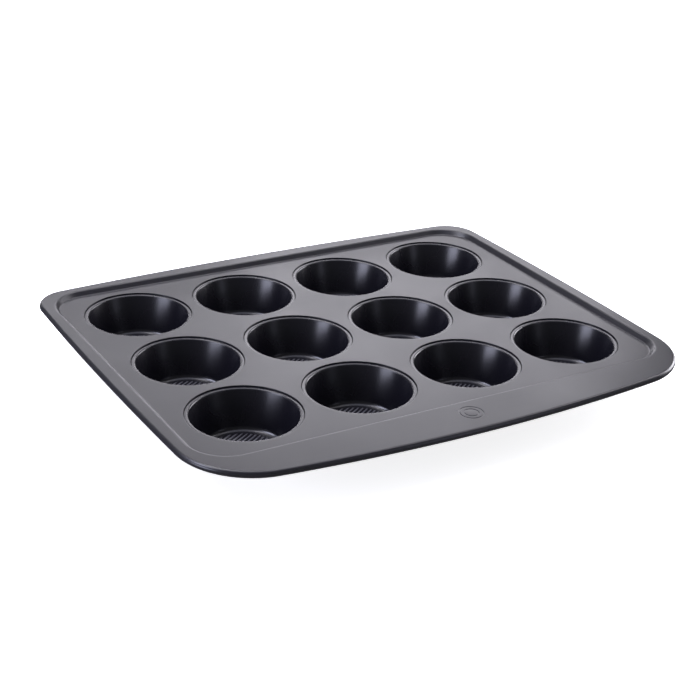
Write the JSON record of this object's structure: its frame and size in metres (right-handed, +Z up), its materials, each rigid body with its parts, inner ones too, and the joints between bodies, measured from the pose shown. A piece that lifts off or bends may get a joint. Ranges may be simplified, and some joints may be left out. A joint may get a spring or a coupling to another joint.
{
  "type": "muffin tin",
  "caption": "Dark non-stick steel muffin tin: drawn round cups set in a recessed top sheet with a rolled, wired edge and a wide front rim.",
  "frame": {"origin": "under the middle of the tin, on the plane that the cup bases rest on", "axes": "+X along the tin's long side, +Y towards the narrow back rim, +Z up"},
  "size_m": [0.3686, 0.3104, 0.0313],
  "materials": {
    "nonstick_coating": "satin",
    "wire_steel": "bright drawn"
  },
  "bodies": {
    "root": {"cup_row1_col1": "nonstick_coating", "cup_row1_col2": "nonstick_coating", "cup_row1_col3": "nonstick_coating", "cup_row1_col4": "nonstick_coating", "cup_row2_col1": "nonstick_coating", "cup_row2_col2": "nonstick_coating", "cup_row2_col3": "nonstick_coating", "cup_row2_col4": "nonstick_coating", "cup_row3_col1": "nonstick_coating", "cup_row3_col2": "nonstick_coating", "cup_row3_col3": "nonstick_coating", "cup_row3_col4": "nonstick_coating", "rim_wire": "wire_steel", "top_sheet": "nonstick_coating"}
  },
  "joints": []
}
